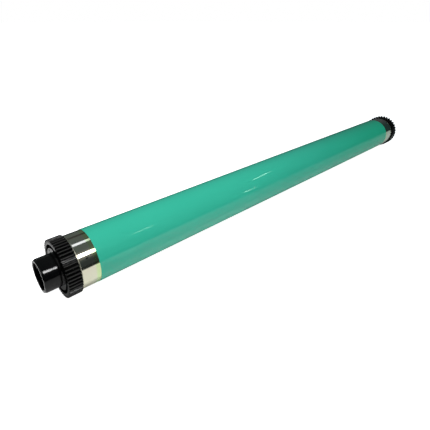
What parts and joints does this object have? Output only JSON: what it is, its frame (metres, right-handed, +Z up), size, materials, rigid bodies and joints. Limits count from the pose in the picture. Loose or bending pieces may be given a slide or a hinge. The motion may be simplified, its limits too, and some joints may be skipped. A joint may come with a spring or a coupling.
{
  "type": "photoconductor drum",
  "caption": "Photoconductor drum for a copier: a coated aluminium tube, bare at both ends, carried by a moulded gear flange with a bored journal at one end and a drive gear at the other.",
  "frame": {"origin": "on the drum's axis, midway between the front flange's nose and the rear flange's face", "axes": "+X along the axis from the bored journal to the rear gear, +Z up with the drum lying on its gear teeth"},
  "size_m": [0.3858, 0.0322, 0.0322],
  "materials": {
    "tube_aluminium": "turned bright, mirror-like, with faint rings around it",
    "green_photoconductor": "smooth glossy layer over aluminium",
    "black_moulding": "glossy black acetal moulding",
    "contact_bronze": "stamped phosphor bronze sheet"
  },
  "bodies": {
    "root": {"drum_tube": "tube_aluminium", "photoconductor_coating": "green_photoconductor", "front_gear_flange": "black_moulding", "rear_gear_flange": "black_moulding", "earth_contact": "contact_bronze"}
  },
  "joints": []
}
